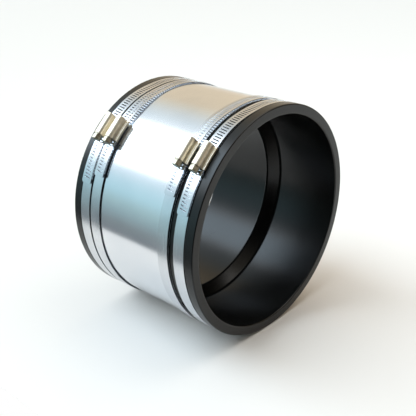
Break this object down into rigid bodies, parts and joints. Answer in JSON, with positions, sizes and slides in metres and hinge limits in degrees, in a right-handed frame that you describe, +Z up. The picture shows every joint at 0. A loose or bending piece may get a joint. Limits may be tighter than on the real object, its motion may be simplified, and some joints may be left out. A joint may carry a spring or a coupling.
{
  "type": "shielded flexible pipe coupling",
  "caption": "Rubber pipe coupling sleeve with a wide stainless shear ring round its middle and a pair of worm-drive band clamps at each end.",
  "frame": {"origin": "centre of the bore, midway between the two end faces", "axes": "+X along the bore towards the end whose outer clamp stands clear of the shear ring; +Z up with the sleeve lying on its side; the clamp housings lie in a row between +Z and -Y"},
  "size_m": [0.165, 0.24, 0.24],
  "materials": {
    "moulded_rubber": "matt moulded black rubber",
    "bright_rolled_stainless": "bright annealed, nearly mirror",
    "band_stainless": "bright rolled strip",
    "pressed_stainless": "pressed stainless sheet",
    "screw_steel": "cold-headed and rolled steel screw"
  },
  "bodies": {
    "sleeve": {"rubber_sleeve": "moulded_rubber"},
    "ring": {"shear_ring": "bright_rolled_stainless"},
    "clamp_1": {"clamp_1_housing": "pressed_stainless", "clamp_1_saddle": "pressed_stainless"},
    "clamp_1_strap": {"clamp_1_band": "band_stainless"},
    "clamp_1_screw": {"clamp_1_worm_screw": "screw_steel"},
    "clamp_2": {"clamp_2_housing": "pressed_stainless", "clamp_2_saddle": "pressed_stainless"},
    "clamp_2_strap": {"clamp_2_band": "band_stainless"},
    "clamp_2_screw": {"clamp_2_worm_screw": "screw_steel"},
    "clamp_3": {"clamp_3_housing": "pressed_stainless", "clamp_3_saddle": "pressed_stainless"},
    "clamp_3_strap": {"clamp_3_band": "band_stainless"},
    "clamp_3_screw": {"clamp_3_worm_screw": "screw_steel"},
    "clamp_4": {"clamp_4_housing": "pressed_stainless", "clamp_4_saddle": "pressed_stainless"},
    "clamp_4_strap": {"clamp_4_band": "band_stainless"},
    "clamp_4_screw": {"clamp_4_worm_screw": "screw_steel"}
  },
  "joints": [
    {"name": "shear_ring_turn", "type": "hinge", "parent": "sleeve", "child": "ring", "pos_m": [-0.0031, 0, 0], "axis": [1, 0, 0], "continuous": true},
    {"name": "clamp_1_turn", "type": "hinge", "parent": "sleeve", "child": "clamp_1", "pos_m": [-0.0658, 0, 0], "axis": [1, 0, 0], "continuous": true},
    {"name": "clamp_1_screw_turn", "type": "hinge", "parent": "clamp_1", "child": "clamp_1_screw", "pos_m": [-0.0658, -0.0868, 0.09147], "axis": [0, 0.7254, 0.6884], "range_deg": [-5046, 1086]},
    {"name": "clamp_1_band_feed", "type": "hinge", "parent": "clamp_1", "child": "clamp_1_strap", "pos_m": [-0.0658, 0, 0], "axis": [1, 0, 0], "range_deg": [-21.07, 4.52]},
    {"name": "clamp_2_turn", "type": "hinge", "parent": "sleeve", "child": "clamp_2", "pos_m": [-0.0506, 0, 0], "axis": [1, 0, 0], "continuous": true},
    {"name": "clamp_2_screw_turn", "type": "hinge", "parent": "clamp_2", "child": "clamp_2_screw", "pos_m": [-0.0506, -0.0868, 0.09147], "axis": [0, 0.7254, 0.6884], "range_deg": [-3966, 1086]},
    {"name": "clamp_2_band_feed", "type": "hinge", "parent": "clamp_2", "child": "clamp_2_strap", "pos_m": [-0.0506, 0, 0], "axis": [1, 0, 0], "range_deg": [-16.56, 4.52]},
    {"name": "clamp_3_turn", "type": "hinge", "parent": "sleeve", "child": "clamp_3", "pos_m": [0.0443, 0, 0], "axis": [1, 0, 0], "continuous": true},
    {"name": "clamp_3_screw_turn", "type": "hinge", "parent": "clamp_3", "child": "clamp_3_screw", "pos_m": [0.0443, -0.0868, 0.09147], "axis": [0, 0.7254, 0.6884], "range_deg": [-3246, 1086]},
    {"name": "clamp_3_band_feed", "type": "hinge", "parent": "clamp_3", "child": "clamp_3_strap", "pos_m": [0.0443, 0, 0], "axis": [1, 0, 0], "range_deg": [-13.55, 4.52]},
    {"name": "clamp_4_turn", "type": "hinge", "parent": "sleeve", "child": "clamp_4", "pos_m": [0.065, 0, 0], "axis": [1, 0, 0], "continuous": true},
    {"name": "clamp_4_screw_turn", "type": "hinge", "parent": "clamp_4", "child": "clamp_4_screw", "pos_m": [0.065, -0.0868, 0.09147], "axis": [0, 0.7254, 0.6884], "range_deg": [-4686, 1086]},
    {"name": "clamp_4_band_feed", "type": "hinge", "parent": "clamp_4", "child": "clamp_4_strap", "pos_m": [0.065, 0, 0], "axis": [1, 0, 0], "range_deg": [-19.57, 4.52]}
  ],
  "couplings": [
    {"joint": "clamp_1_screw_turn", "follows": "clamp_1_band_feed", "ratio": 239.15},
    {"joint": "clamp_2_screw_turn", "follows": "clamp_2_band_feed", "ratio": 239.15},
    {"joint": "clamp_3_screw_turn", "follows": "clamp_3_band_feed", "ratio": 239.15},
    {"joint": "clamp_4_screw_turn", "follows": "clamp_4_band_feed", "ratio": 239.15}
  ]
}
